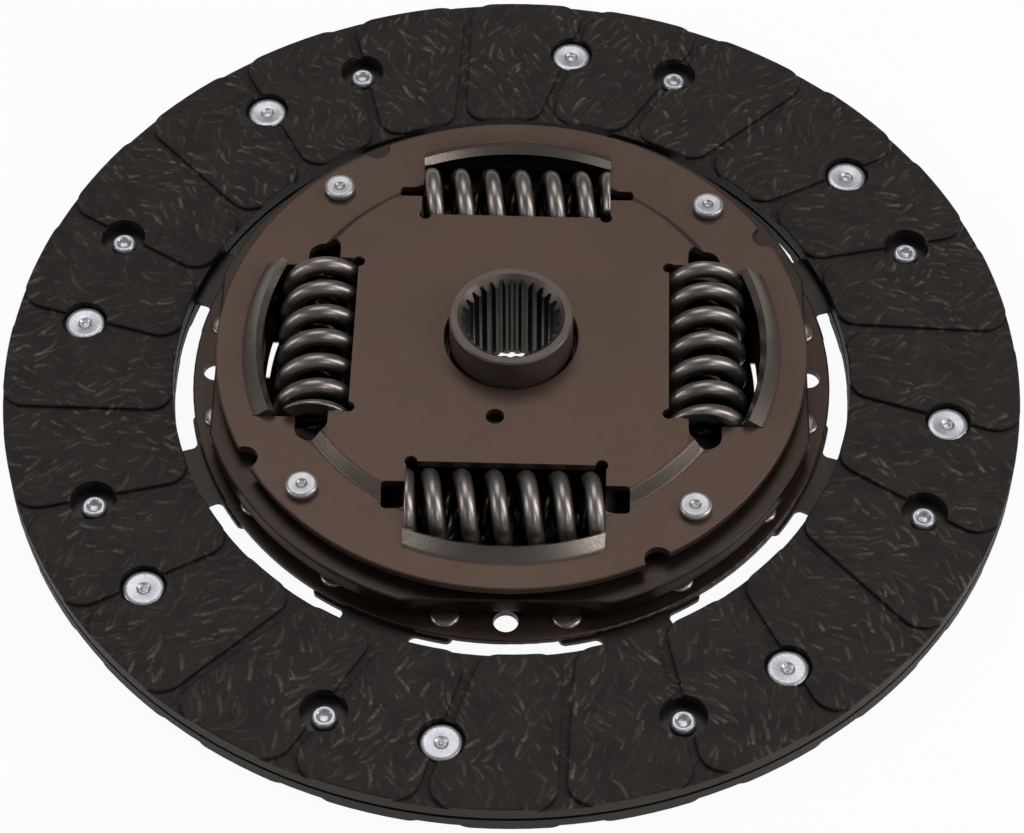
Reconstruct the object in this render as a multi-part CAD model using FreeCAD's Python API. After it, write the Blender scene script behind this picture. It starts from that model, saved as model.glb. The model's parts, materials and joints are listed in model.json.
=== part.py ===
import FreeCAD, Part
import math
import os

os.makedirs("parts", exist_ok=True)
Vec = FreeCAD.Vector
ORIGIN = Vec(0, 0, 0)
UP = Vec(0, 0, 1)

# Play left where a rivet or a ring sits in a hole, where the hub turns, and round the springs
SEAT_PLAY = 0.3
RUNNING_PLAY = 0.05
SPRING_PLAY = 0.2
CUT_PAST = 1.0

# Toothed bore and hub
SPLINE_TEETH = 28
SPLINE_MINOR_R = 9.9
SPLINE_TOOTH_HIGH = 1.2
SPLINE_MAJOR_R = SPLINE_MINOR_R + SPLINE_TOOTH_HIGH
SPLINE_GAP_IN = 0.78
SPLINE_GAP_OUT = 0.34
SPLINE_LEAD_IN = 0.8
SPLINE_END_BEVEL = 1.0
HUB_WALL = 2.6
HUB_R = SPLINE_MAJOR_R + HUB_WALL
HUB_BOTTOM = 0.3
HUB_EDGE = 0.35
HUB_STEP = 3.3
SHOULDER_STEP = 1.4
SHOULDER_HIGH = 1.2
COLLAR_R = HUB_R + HUB_STEP
SHOULDER_R = COLLAR_R + SHOULDER_STEP
RING_WIDTH = 7.6
RING_R = SHOULDER_R + RING_WIDTH

# Springs, one inside the other
SPRING_AT = 43.0
SPRING_LENGTH = 43.0
OUTER_COIL_R = 7.5
OUTER_WIRE_R = 1.95
OUTER_PITCH = 6.95
OUTER_PHASE = 120.0
INNER_COIL_R = 3.9
INNER_WIRE_R = 1.05
INNER_PITCH = 4.3
INNER_PHASE = 40.0
SPRING_R = OUTER_COIL_R + OUTER_WIRE_R
SPRING_CORNER_R = math.hypot(SPRING_AT + SPRING_R, SPRING_LENGTH / 2)

# The four spring windows of both plates, each with a notch at its ends and a lip
WINDOW_COUNT = 4
WINDOW_STEP = 360.0 / WINDOW_COUNT
WINDOW_GRIP = 1.45
WINDOW_INNER = SPRING_AT - SPRING_R + WINDOW_GRIP
WINDOW_HALF = SPRING_LENGTH / 2 + SPRING_PLAY / 2
RELIEF_R = 1.4
WINDOW_TURN = -0.7
LIP_TILT = math.radians(42.0)
LIP_LENGTH = 3.78
LIP_BEND = 0.6
LIP_PLAY = 0.05
LIP_EDGE_R = SPRING_CORNER_R + LIP_PLAY
LIP_BASE_R = LIP_EDGE_R + LIP_LENGTH * math.cos(LIP_TILT)
ROUND_NOTCH_REACH = 6.4
ROUND_NOTCH_HALF = 3.7
ROUND_NOTCH_CORNER = 3.5
SQUARE_NOTCH_REACH = 5.2
SQUARE_NOTCH_HALF = 2.6
SQUARE_NOTCH_CORNER = 1.0

# Round slope that lifts the middle of both plates
SLOPE_PAST_SPRING = 5.9
SLOPE_R_IN = SPRING_AT + SLOPE_PAST_SPRING
SLOPE_WIDTH = 2.2
SLOPE_R_OUT = SLOPE_R_IN + SLOPE_WIDTH
BEND = 0.9
RIM_EDGE = 0.4

# Stop pins through both plates and the long slots of the flange
PIN_R = 2.9
PIN_NECK_R = 2.2
PIN_HEAD_R = 3.55
PIN_HEAD_HIGH = 2.0
PIN_FOOT_HIGH = 1.5
PIN_LAG_ANGLE = 2.8
PIN_DIMPLE_R = 0.7
PIN_PAST_LIP = 0.45
PIN_AT = LIP_BASE_R + PIN_PAST_LIP
TWIST_ANGLE = 8.0
SLOT_PLAY = 0.8
SLOT_HALF_WIDTH = PIN_R + SLOT_PLAY

# Radii of the three plates, each outside the pins
COVER_MARGIN = 2.35
COVER_R = PIN_AT + PIN_HEAD_R + COVER_MARGIN
FLANGE_MARGIN = 6.1
FLANGE_R = PIN_AT + SLOT_HALF_WIDTH + FLANGE_MARGIN
FLANGE_CUT = 3.8
FLANGE_FLAT = FLANGE_R - FLANGE_CUT
FLANGE_EDGE = 0.5
DRIVE_MARGIN = 1.8
DRIVE_R = FLANGE_R + DRIVE_MARGIN

# Friction facings, the lower one resting on z = 0
FACING_GAP = 4.4
FACING_BORE_R = DRIVE_R + FACING_GAP
FACING_WIDTH = 38.0
FACING_R = FACING_BORE_R + FACING_WIDTH
FACING_THICK = 3.5
GROOVE_COUNT = 24
GROOVE_DEPTH = 1.0
GROOVE_TILT = 9.5
GROOVE_WIDTH_OUT = 1.6
GROOVE_WIDTH_IN = 2.6
PAD_CORNER_OUT = 5.5
PAD_CORNER_IN = 5.0
PAD_EDGE = 0.25

# Heights, from the facings up to the rim of the upper plate
SHEET_THICK = 1.0
LOWER_TOP = FACING_THICK
UPPER_BOTTOM = LOWER_TOP + SHEET_THICK
DISC_TOP = UPPER_BOTTOM + FACING_THICK
MIDDLE_Z = DISC_TOP / 2
DRIVE_THICK = 1.8
DRIVE_RISE = 1.2
DRIVE_Z = UPPER_BOTTOM
BUSH_THICK = 1.4
FLANGE_THICK = 4.2
FLANGE_Z = DRIVE_Z + DRIVE_THICK + DRIVE_RISE + BUSH_THICK
FLANGE_TOP = FLANGE_Z + FLANGE_THICK
TOP_RING_THICK = 1.2
STEEL_RING_THICK = 1.2
SPRING_RING_HIGH = 2.7
SPRING_RING_THICK = 0.8
SPRING_RING_LAND = 2.4
COVER_THICK = 2.0
COVER_RISE = 2.9
COVER_Z = FLANGE_TOP + TOP_RING_THICK + STEEL_RING_THICK + SPRING_RING_HIGH - COVER_RISE
SPRING_Z = (DRIVE_Z + DRIVE_THICK + DRIVE_RISE + COVER_Z + COVER_RISE) / 2
HUB_ABOVE_COVER = 7.4
HUB_TOP = COVER_Z + COVER_THICK + COVER_RISE + HUB_ABOVE_COVER

# Rivets that hold a facing to the sheet segments
SEGMENT_COUNT = 8
SEGMENT_STEP = 360.0 / SEGMENT_COUNT
SEGMENT_OFFSET = SEGMENT_STEP / 2
RIVET_FROM_RIM = 15.8
FACING_RIVET_R = FACING_R - RIVET_FROM_RIM
RIVET_SPACING = 15.0
FACING_HEAD_R = 4.55
FACING_HEAD_THICK = 1.0
FACING_HEAD_PLAY = 0.6
FACING_SHANK_R = 1.8
CLINCH_R = 2.8
CLINCH_HOLLOW_R = 1.4
CLINCH_HIGH = 1.5
COUNTERBORE_R = FACING_HEAD_R + FACING_HEAD_PLAY
COUNTERBORE_FLOOR = 1.4
HEAD_SEAT_Z = UPPER_BOTTOM + COUNTERBORE_FLOOR
RIVET_EDGE = 0.3

# Sheet segments that cushion the facings, their feet riveted to the lower plate
FOOT_RIVET_FROM_RIM = 4.9
FOOT_RIVET_R = DRIVE_R - FOOT_RIVET_FROM_RIM
FOOT_PAST_RIM = 0.5
FOOT_DEEP = 9.7
FOOT_R_OUT = DRIVE_R + FOOT_PAST_RIM
FOOT_R_IN = FOOT_R_OUT - FOOT_DEEP
FOOT_ANGLE = 13.3
NECK_ANGLE = 6.15
PADDLE_INSET = 1.5
PADDLE_R_IN = FACING_BORE_R + PADDLE_INSET
PADDLE_R_OUT = FACING_R - PADDLE_INSET
PADDLE_GAP_ANGLE = 1.0
PADDLE_ANGLE = SEGMENT_STEP / 2 - PADDLE_GAP_ANGLE / 2
SHEET_CORNER = 1.5
FOOT_RIVET_ANGLE = SEGMENT_STEP / 4
FOOT_HEAD_R = 3.2
FOOT_HEAD_HIGH = 0.9
FOOT_SHANK_R = 2.2
FOOT_CLINCH_R = 3.0
FOOT_CLINCH_HIGH = 1.1

# Openings of the plates and the flange
DRIVE_BORE_PLAY = 2.2
DRIVE_BORE_R = HUB_R + DRIVE_BORE_PLAY
RIM_HOLE_COUNT = 4
RIM_HOLE_R = 2.7
RIM_HOLE_AT = FOOT_RIVET_R
COVER_BORE_PLAY = 1.0
COVER_BORE_R = HUB_R + COVER_BORE_PLAY
COVER_NOTCH_R = 3.0
COVER_NOTCH_ANGLE = 30.0
COVER_HOLE_R = 2.05
COVER_HOLE_WALL = 5.85
COVER_HOLE_AT = COVER_BORE_R + COVER_HOLE_R + COVER_HOLE_WALL
COVER_HOLE_ANGLE = 262.0
FLANGE_WINDOW_IN = SPRING_AT - SPRING_R - SPRING_PLAY
FLANGE_WINDOW_PAST = 3.15
FLANGE_WINDOW_OUT = SPRING_AT + SPRING_R + FLANGE_WINDOW_PAST
FLANGE_WINDOW_CORNER = 0.6

# Friction rings round the hub
BUSH_R_IN = HUB_R + RUNNING_PLAY
BUSH_R_OUT = DRIVE_BORE_R - SEAT_PLAY
TOP_RING_PLAY = 0.6
TOP_RING_R_IN = HUB_R + TOP_RING_PLAY
SPRING_RING_R_IN = TOP_RING_R_IN + CUT_PAST


# Small builders

def polar(radius, degrees, z=0.0):
    turn = math.radians(degrees)
    return Vec(radius * math.cos(turn), radius * math.sin(turn), z)


def spin(shape, degrees):
    return shape.copy().rotate(ORIGIN, UP, degrees)


def round_bar(radius, bottom, top, at=ORIGIN):
    return Part.makeCylinder(radius, top - bottom, Vec(at.x, at.y, bottom), UP)


def turned(points):
    """Solid turned about the Z axis from (radius, height) points."""
    corners = [Vec(r, 0, z) for r, z in points]
    face = Part.Face(Part.makePolygon(corners + corners[:1]))
    return face.revolve(ORIGIN, UP, 360)


def ring(inner, outer, bottom, top):
    return turned([(inner, bottom), (outer, bottom), (outer, top), (inner, top)])


def arc(radius, start, end, z):
    middle = (start + end) / 2
    return Part.Arc(polar(radius, start, z), polar(radius, middle, z), polar(radius, end, z)).toShape()


def sector(inner, outer, half, bottom, top):
    """Piece of a ring, half degrees to either side of the X axis."""
    edges = [arc(outer, -half, half, bottom),
             Part.makeLine(polar(outer, half, bottom), polar(inner, half, bottom)),
             arc(inner, half, -half, bottom),
             Part.makeLine(polar(inner, -half, bottom), polar(outer, -half, bottom))]
    return Part.Face(Part.Wire(edges)).extrude(Vec(0, 0, top - bottom))


def upright_edges(shape):
    """Straight edges that run along Z."""
    found = []
    for edge in shape.Edges:
        ends = [vertex.Point for vertex in edge.Vertexes]
        if len(ends) == 2 and (ends[1] - ends[0]).cross(UP).Length < 1e-6:
            found.append(edge)
    return found


def round_edges(shape):
    """Full circles about the Z axis, as (radius, height, edge)."""
    found = []
    for edge in shape.Edges:
        if isinstance(edge.Curve, Part.Circle):
            found.append((edge.Curve.Radius, edge.Curve.Center.z, edge))
    return found


def join(shapes):
    return shapes[0].multiFuse(shapes[1:]).removeSplitter()


def around(shape, count, start=0.0):
    return [spin(shape, start + 360.0 * k / count) for k in range(count)]


def save(name, shape):
    shape.exportStep("parts/" + name + ".step")


# Facings

def rivet_angles(lag):
    """Middle of each segment, shifted by lag degrees."""
    return [SEGMENT_OFFSET + lag + SEGMENT_STEP * k for k in range(SEGMENT_COUNT)]


def meet_circle(start, end, radius):
    """Point where the line from start through end reaches the radius, on the end's side."""
    way = (end - start).normalize()
    along = start.dot(way)
    return start + way * (-along + math.sqrt(along ** 2 + radius ** 2 - start.dot(start)))


def groove_side(angle, side):
    """Inner and outer point of one side of the slanting groove."""
    middle = polar(FACING_RIVET_R, angle)
    way = polar(1, angle - GROOVE_TILT)
    across = polar(1, angle - GROOVE_TILT + 90) * side
    near = middle + way * (FACING_BORE_R - FACING_RIVET_R) + across * (GROOVE_WIDTH_IN / 2)
    far = middle + way * (FACING_R - FACING_RIVET_R) + across * (GROOVE_WIDTH_OUT / 2)
    return meet_circle(near, far, FACING_BORE_R), meet_circle(near, far, FACING_R)


def pad(start):
    """Raised field between two grooves."""
    step = 360.0 / GROOVE_COUNT
    in_a, out_a = groove_side(start, 1)
    in_b, out_b = groove_side(start + step, -1)
    lift = Vec(0, 0, DISC_TOP - GROOVE_DEPTH)
    turn_out = math.degrees(math.atan2(out_a.y, out_a.x) + math.atan2(out_b.y, out_b.x)) / 2
    turn_in = math.degrees(math.atan2(in_a.y, in_a.x) + math.atan2(in_b.y, in_b.x)) / 2
    edges = [Part.Arc(out_a, polar(FACING_R, turn_out), out_b).toShape(),
             Part.makeLine(out_b, in_b),
             Part.Arc(in_b, polar(FACING_BORE_R, turn_in), in_a).toShape(),
             Part.makeLine(in_a, out_a)]
    block = Part.Face(Part.Wire(edges)).extrude(Vec(0, 0, GROOVE_DEPTH))
    corners = upright_edges(block)
    limit = (FACING_R + FACING_BORE_R) / 2
    outer = [e for e in corners if e.Vertexes[0].Point.Length > limit]
    block = block.makeFillet(PAD_CORNER_OUT, outer)
    inner = [e for e in upright_edges(block) if e.Vertexes[0].Point.Length < FACING_BORE_R + CUT_PAST]
    block = block.makeFillet(PAD_CORNER_IN, inner)
    rim = [e for e in block.Edges if min(v.Point.z for v in e.Vertexes) > GROOVE_DEPTH / 2]
    block = block.makeChamfer(PAD_EDGE, rim)
    block.translate(lift)
    return block


def upper_facing():
    floor = DISC_TOP - GROOVE_DEPTH
    base = ring(FACING_BORE_R, FACING_R, UPPER_BOTTOM, floor)
    facing = join([base] + around(pad(RIVET_SPACING / 2), GROOVE_COUNT))
    holes = []
    for angle in rivet_angles(RIVET_SPACING):
        at = polar(FACING_RIVET_R, angle)
        holes.append(round_bar(COUNTERBORE_R, HEAD_SEAT_Z, DISC_TOP + CUT_PAST, at))
        holes.append(round_bar(FACING_SHANK_R + SEAT_PLAY, UPPER_BOTTOM - CUT_PAST, DISC_TOP, at))
    for angle in rivet_angles(0):
        at = polar(FACING_RIVET_R, angle)
        holes.append(round_bar(COUNTERBORE_R, UPPER_BOTTOM - CUT_PAST, DISC_TOP + CUT_PAST, at))
    return facing.cut(holes)


def turned_over(shape):
    """The same piece as it sits on the other side of the sheet."""
    axis = polar(1, SEGMENT_OFFSET + RIVET_SPACING / 2)
    return shape.copy().rotate(Vec(0, 0, MIDDLE_Z), axis, 180)


def facing_rivet():
    head_top = HEAD_SEAT_Z + FACING_HEAD_THICK
    clinch_end = LOWER_TOP - CLINCH_HIGH
    return turned([(0, head_top - RIVET_EDGE),
                   (RIVET_EDGE * 2, head_top - RIVET_EDGE),
                   (RIVET_EDGE * 3, head_top),
                   (FACING_HEAD_R - RIVET_EDGE, head_top),
                   (FACING_HEAD_R, head_top - RIVET_EDGE),
                   (FACING_HEAD_R, HEAD_SEAT_Z),
                   (FACING_SHANK_R, HEAD_SEAT_Z),
                   (FACING_SHANK_R, LOWER_TOP),
                   (CLINCH_R, LOWER_TOP),
                   (CLINCH_R, clinch_end + RIVET_EDGE),
                   (CLINCH_R - RIVET_EDGE, clinch_end),
                   (CLINCH_HOLLOW_R, clinch_end),
                   (CLINCH_HOLLOW_R - RIVET_EDGE, clinch_end + CLINCH_HIGH / 2),
                   (0, clinch_end + CLINCH_HIGH / 2)])


def facing_rivets():
    one = facing_rivet()
    one.translate(polar(FACING_RIVET_R, SEGMENT_OFFSET + RIVET_SPACING))
    return around(one, SEGMENT_COUNT)


# Sheet segments and their rivets

def segment():
    foot = sector(FOOT_R_IN, FOOT_R_OUT, FOOT_ANGLE, LOWER_TOP, UPPER_BOTTOM)
    neck = sector(FOOT_R_OUT - CUT_PAST, PADDLE_R_IN + CUT_PAST, NECK_ANGLE, LOWER_TOP, UPPER_BOTTOM)
    paddle = sector(PADDLE_R_IN, PADDLE_R_OUT, PADDLE_ANGLE, LOWER_TOP, UPPER_BOTTOM)
    sheet = join([foot, neck, paddle])
    sheet = sheet.makeFillet(SHEET_CORNER, upright_edges(sheet))
    holes = []
    for angle in (0, RIVET_SPACING):
        at = polar(FACING_RIVET_R, angle)
        holes.append(round_bar(FACING_SHANK_R + SEAT_PLAY, 0, DISC_TOP, at))
    for angle in (-FOOT_RIVET_ANGLE, FOOT_RIVET_ANGLE):
        holes.append(round_bar(FOOT_SHANK_R + SEAT_PLAY, 0, DISC_TOP, polar(FOOT_RIVET_R, angle)))
    return sheet.cut(holes)


def foot_rivets():
    seat = DRIVE_Z + DRIVE_THICK
    end = LOWER_TOP - FOOT_CLINCH_HIGH
    top = seat + FOOT_HEAD_HIGH
    one = turned([(0, top),
                  (FOOT_HEAD_R * 0.45, top - RIVET_EDGE / 3),
                  (FOOT_HEAD_R * 0.8, top - RIVET_EDGE * 1.3),
                  (FOOT_HEAD_R, top - RIVET_EDGE * 3),
                  (FOOT_HEAD_R, seat),
                  (FOOT_SHANK_R, seat),
                  (FOOT_SHANK_R, LOWER_TOP),
                  (FOOT_CLINCH_R, LOWER_TOP),
                  (FOOT_CLINCH_R, end + RIVET_EDGE),
                  (FOOT_CLINCH_R - RIVET_EDGE, end),
                  (0, end)])
    one.translate(polar(FOOT_RIVET_R, FOOT_RIVET_ANGLE))
    return around(one, 2 * SEGMENT_COUNT)


# Plates

def dished_plate(outer, bore, bottom, thick, rise):
    """Turned plate whose middle stands up by rise inside the round slope."""
    top = bottom + thick
    plate = turned([(bore, bottom + rise),
                    (SLOPE_R_IN, bottom + rise),
                    (SLOPE_R_OUT, bottom),
                    (outer, bottom),
                    (outer, top),
                    (SLOPE_R_OUT, top),
                    (SLOPE_R_IN, top + rise),
                    (bore, top + rise)])
    bends = [e for r, z, e in round_edges(plate) if SLOPE_R_IN - CUT_PAST < r < SLOPE_R_OUT + CUT_PAST]
    plate = plate.makeFillet(BEND, bends)
    rims = [e for r, z, e in round_edges(plate) if r > outer - CUT_PAST or r < bore + CUT_PAST]
    return plate.makeFillet(RIM_EDGE, rims)


def end_notch(half_width, reach, corner, low, high, side):
    """Opening that runs on from one end of a window."""
    inside = WINDOW_HALF - RELIEF_R
    length = reach + RELIEF_R
    start = inside if side > 0 else -inside - length
    block = Part.makeBox(2 * half_width, length, high - low, Vec(SPRING_AT - half_width, start, low))
    far = [e for e in upright_edges(block) if abs(e.Vertexes[0].Point.y) > WINDOW_HALF]
    return block.makeFillet(corner, far)


def window(low, high, half_width, reach, corner):
    """Cutter for the spring window on the X axis."""
    outer = LIP_BASE_R + LIP_BEND
    block = Part.makeBox(outer, 2 * WINDOW_HALF, high - low, Vec(WINDOW_INNER, -WINDOW_HALF, low))
    pieces = [block.common(round_bar(outer, low, high))]
    for side in (-1, 1):
        at = Vec(WINDOW_INNER, side * (WINDOW_HALF - RELIEF_R * 0.7), 0)
        pieces.append(round_bar(RELIEF_R, low, high, at))
        pieces.append(end_notch(half_width, reach, corner, low, high, side))
    return join(pieces)


def windows(low, high):
    """All four: round notches beside the X axis, square ones beside the Y axis."""
    rounded = window(low, high, ROUND_NOTCH_HALF, ROUND_NOTCH_REACH, ROUND_NOTCH_CORNER)
    square = window(low, high, SQUARE_NOTCH_HALF, SQUARE_NOTCH_REACH, SQUARE_NOTCH_CORNER)
    cutters = [rounded, spin(rounded, 2 * WINDOW_STEP), spin(square, WINDOW_STEP), spin(square, 3 * WINDOW_STEP)]
    return [spin(cutter, WINDOW_TURN) for cutter in cutters]


def lip(bottom, thick, way):
    """Bent-up strip along the outer side of a window; way is 1 for up and -1 for down."""
    lean_r, lean_z = math.cos(LIP_TILT), math.sin(LIP_TILT)
    under_r = LIP_BASE_R - thick * math.tan(LIP_TILT / 2)
    root = LIP_BASE_R + 2 * LIP_BEND
    path = [(root, 0),
            (root, thick),
            (LIP_BASE_R + LIP_BEND, thick),
            (LIP_BASE_R - lean_r * LIP_BEND, thick + lean_z * LIP_BEND),
            (LIP_EDGE_R, thick + lean_z * LIP_LENGTH),
            (LIP_EDGE_R - lean_z * thick, thick + lean_z * LIP_LENGTH - lean_r * thick),
            (under_r - lean_r * LIP_BEND, lean_z * LIP_BEND),
            (under_r + LIP_BEND, 0)]
    middle = bottom + thick / 2
    band = turned([(r, middle + way * (z - thick / 2)) for r, z in path])
    reach = thick + LIP_LENGTH
    keep = Part.makeBox(root, 2 * WINDOW_HALF, 2 * reach, Vec(0, -WINDOW_HALF, middle - reach))
    return spin(band.common(keep), WINDOW_TURN)


def pin_holes(low, high):
    hole = round_bar(PIN_NECK_R + SEAT_PLAY, low, high, polar(PIN_AT, WINDOW_STEP / 2 - PIN_LAG_ANGLE))
    return around(hole, WINDOW_COUNT)


def cover_plate():
    low = COVER_Z - CUT_PAST
    top = COVER_Z + COVER_THICK + COVER_RISE + CUT_PAST
    plate = dished_plate(COVER_R, COVER_BORE_R, COVER_Z, COVER_THICK, COVER_RISE)
    notch = round_bar(COVER_NOTCH_R, low, top, polar(COVER_R, COVER_NOTCH_ANGLE + WINDOW_TURN))
    hole = round_bar(COVER_HOLE_R, COVER_Z, top, polar(COVER_HOLE_AT, COVER_HOLE_ANGLE))
    cuts = windows(low, top) + around(notch, WINDOW_COUNT) + pin_holes(low, top) + [hole]
    return join([plate.cut(cuts)] + around(lip(COVER_Z, COVER_THICK, 1), WINDOW_COUNT))


def drive_plate():
    top = DRIVE_Z + DRIVE_THICK + DRIVE_RISE + CUT_PAST
    plate = dished_plate(DRIVE_R, DRIVE_BORE_R, DRIVE_Z, DRIVE_THICK, DRIVE_RISE)
    rim_hole = round_bar(RIM_HOLE_R, DRIVE_Z - CUT_PAST, top, polar(RIM_HOLE_AT, 0))
    seat = round_bar(FOOT_SHANK_R + SEAT_PLAY, DRIVE_Z - CUT_PAST, top, polar(FOOT_RIVET_R, FOOT_RIVET_ANGLE))
    cuts = windows(DRIVE_Z - CUT_PAST, top) + pin_holes(DRIVE_Z - CUT_PAST, top)
    cuts += around(rim_hole, RIM_HOLE_COUNT) + around(seat, 2 * SEGMENT_COUNT)
    return join([plate.cut(cuts)] + around(lip(DRIVE_Z, DRIVE_THICK, -1), WINDOW_COUNT))


def stop_pins():
    seat = DRIVE_Z + DRIVE_THICK
    top = COVER_Z + COVER_THICK + PIN_HEAD_HIGH
    foot = DRIVE_Z - PIN_FOOT_HIGH
    one = turned([(0, top - RIVET_EDGE),
                  (PIN_DIMPLE_R, top - RIVET_EDGE),
                  (PIN_DIMPLE_R + RIVET_EDGE, top),
                  (PIN_HEAD_R - RIVET_EDGE, top),
                  (PIN_HEAD_R, top - RIVET_EDGE),
                  (PIN_HEAD_R, top - PIN_HEAD_HIGH * 0.7),
                  (PIN_HEAD_R - RIVET_EDGE * 1.5, COVER_Z + COVER_THICK),
                  (PIN_NECK_R, COVER_Z + COVER_THICK),
                  (PIN_NECK_R, COVER_Z),
                  (PIN_R, COVER_Z),
                  (PIN_R, seat),
                  (PIN_NECK_R, seat),
                  (PIN_NECK_R, DRIVE_Z),
                  (PIN_HEAD_R, DRIVE_Z),
                  (PIN_HEAD_R, foot + RIVET_EDGE * 2),
                  (PIN_HEAD_R - RIVET_EDGE * 2, foot),
                  (0, foot)])
    one.translate(polar(PIN_AT, WINDOW_STEP / 2 - PIN_LAG_ANGLE))
    return around(one, WINDOW_COUNT)


# Hub and flange

def spline_cutter():
    """Toothed bar that leaves straight-sided teeth in the bore."""
    corners = []
    tooth = 360.0 / SPLINE_TEETH
    for k in range(SPLINE_TEETH):
        for radius, gap, side in ((SPLINE_MINOR_R, SPLINE_GAP_IN, -1), (SPLINE_MAJOR_R, SPLINE_GAP_OUT, -1),
                                  (SPLINE_MAJOR_R, SPLINE_GAP_OUT, 1), (SPLINE_MINOR_R, SPLINE_GAP_IN, 1)):
            angle = tooth * k + side * math.degrees(gap / radius)
            corners.append(polar(radius, angle, HUB_BOTTOM - CUT_PAST))
    face = Part.Face(Part.makePolygon(corners + corners[:1]))
    return face.extrude(Vec(0, 0, HUB_TOP - HUB_BOTTOM + 2 * CUT_PAST))


def lead_in(level, way, wide):
    """Cone that opens one end of the bore to the radius wide."""
    past = wide + CUT_PAST
    deep = wide - SPLINE_MINOR_R + CUT_PAST
    return turned([(0, level + way * CUT_PAST),
                   (past, level + way * CUT_PAST),
                   (wide - deep, level - way * deep),
                   (0, level - way * deep)])


def hub():
    body = turned([(0, HUB_BOTTOM),
                   (HUB_R - HUB_EDGE, HUB_BOTTOM),
                   (HUB_R, HUB_BOTTOM + HUB_EDGE),
                   (HUB_R, FLANGE_Z),
                   (SHOULDER_R, FLANGE_Z),
                   (SHOULDER_R, FLANGE_Z + SHOULDER_HIGH),
                   (COLLAR_R, FLANGE_Z + SHOULDER_HIGH),
                   (COLLAR_R, FLANGE_TOP),
                   (HUB_R, FLANGE_TOP),
                   (HUB_R, HUB_TOP - HUB_EDGE),
                   (HUB_R - HUB_EDGE, HUB_TOP),
                   (0, HUB_TOP)])
    top_cone = lead_in(HUB_TOP, 1, SPLINE_MAJOR_R + SPLINE_LEAD_IN)
    bottom_cone = lead_in(HUB_BOTTOM, -1, SPLINE_MINOR_R + SPLINE_END_BEVEL)
    return body.cut([spline_cutter(), top_cone, bottom_cone])


def pin_slot(low, high):
    """Round-ended slot along the circle of the pins, about the X axis."""
    half = TWIST_ANGLE - math.degrees((SLOT_HALF_WIDTH - PIN_R) / PIN_AT)
    inner = PIN_AT - SLOT_HALF_WIDTH
    outer = PIN_AT + SLOT_HALF_WIDTH
    ends = [round_bar(SLOT_HALF_WIDTH, low, high, polar(PIN_AT, side * half)) for side in (-1, 1)]
    return join([sector(inner, outer, half, low, high)] + ends)


def hub_flange():
    plate = turned([(SHOULDER_R + RUNNING_PLAY, FLANGE_Z),
                    (FLANGE_R, FLANGE_Z),
                    (FLANGE_R, FLANGE_TOP),
                    (COLLAR_R + RUNNING_PLAY, FLANGE_TOP),
                    (COLLAR_R + RUNNING_PLAY, FLANGE_Z + SHOULDER_HIGH),
                    (SHOULDER_R + RUNNING_PLAY, FLANGE_Z + SHOULDER_HIGH)])
    wide = 2 * FLANGE_FLAT
    square = Part.makeBox(wide, wide, FLANGE_THICK, Vec(-FLANGE_FLAT, -FLANGE_FLAT, FLANGE_Z))
    plate = plate.common(square)
    rim = [e for e in plate.Edges if min(v.Point.Length for v in e.Vertexes) > FLANGE_FLAT
           and abs(e.Vertexes[0].Point.z - e.Vertexes[-1].Point.z) < 1e-6]
    plate = plate.makeFillet(FLANGE_EDGE, rim)
    low, high = FLANGE_Z - CUT_PAST, FLANGE_TOP + CUT_PAST
    reach = FLANGE_WINDOW_OUT - FLANGE_WINDOW_IN
    opening = Part.makeBox(reach, 2 * WINDOW_HALF, high - low, Vec(FLANGE_WINDOW_IN, -WINDOW_HALF, low))
    opening = opening.makeFillet(FLANGE_WINDOW_CORNER, upright_edges(opening))
    slot = spin(pin_slot(low, high), WINDOW_STEP / 2)
    return plate.cut(around(opening, WINDOW_COUNT, WINDOW_TURN) + around(slot, WINDOW_COUNT))


# Springs

def coil(radius, wire_r, pitch, left_handed, phase):
    """Round wire wound along the Y axis, its ends cut flat."""
    reach = SPRING_LENGTH + 4 * wire_r
    path = Part.makeHelix(pitch, reach, radius, 0, left_handed)
    loop = Part.Wire(Part.makeCircle(wire_r, Vec(radius, 0, 0), Vec(0, 1, 0)))
    spring = Part.Wire(path).makePipeShell([loop], True, True)
    spring.rotate(ORIGIN, UP, phase)
    spring.translate(Vec(0, 0, -reach / 2))
    spring.rotate(ORIGIN, Vec(1, 0, 0), -90)
    wide = 4 * radius
    slab = Part.makeBox(wide, SPRING_LENGTH, wide, Vec(-wide / 2, -SPRING_LENGTH / 2, -wide / 2))
    spring = spring.common(slab)
    spring.translate(Vec(SPRING_AT, 0, SPRING_Z))
    return spring


# Friction rings

def friction_bush():
    low = DRIVE_Z + DRIVE_RISE
    seat = low + DRIVE_THICK
    return turned([(BUSH_R_IN, low), (BUSH_R_OUT, low), (BUSH_R_OUT, seat), (RING_R, seat),
                   (RING_R, FLANGE_Z), (BUSH_R_IN, FLANGE_Z)])


def spring_ring():
    """Cone-shaped spring washer pressing up against the upper plate."""
    low = FLANGE_TOP + TOP_RING_THICK + STEEL_RING_THICK
    high = COVER_Z + COVER_RISE
    land = SPRING_RING_R_IN + SPRING_RING_LAND
    return turned([(SPRING_RING_R_IN, low),
                   (land, low),
                   (RING_R - SPRING_RING_LAND, high - SPRING_RING_THICK),
                   (RING_R, high - SPRING_RING_THICK),
                   (RING_R, high),
                   (RING_R - SPRING_RING_LAND, high),
                   (land, low + SPRING_RING_THICK),
                   (SPRING_RING_R_IN, low + SPRING_RING_THICK)])


# Build and save every piece
facing = upper_facing()
rivets = facing_rivets()
save("facing_upper", facing)
save("facing_lower", turned_over(facing))
save("upper_facing_rivets", Part.makeCompound(rivets))
save("lower_facing_rivets", Part.makeCompound([turned_over(rivet) for rivet in rivets]))

for number, sheet in enumerate(around(segment(), SEGMENT_COUNT, SEGMENT_OFFSET), 1):
    save("cushion_segment_" + str(number), sheet)
save("segment_rivets", Part.makeCompound(foot_rivets()))

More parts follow.
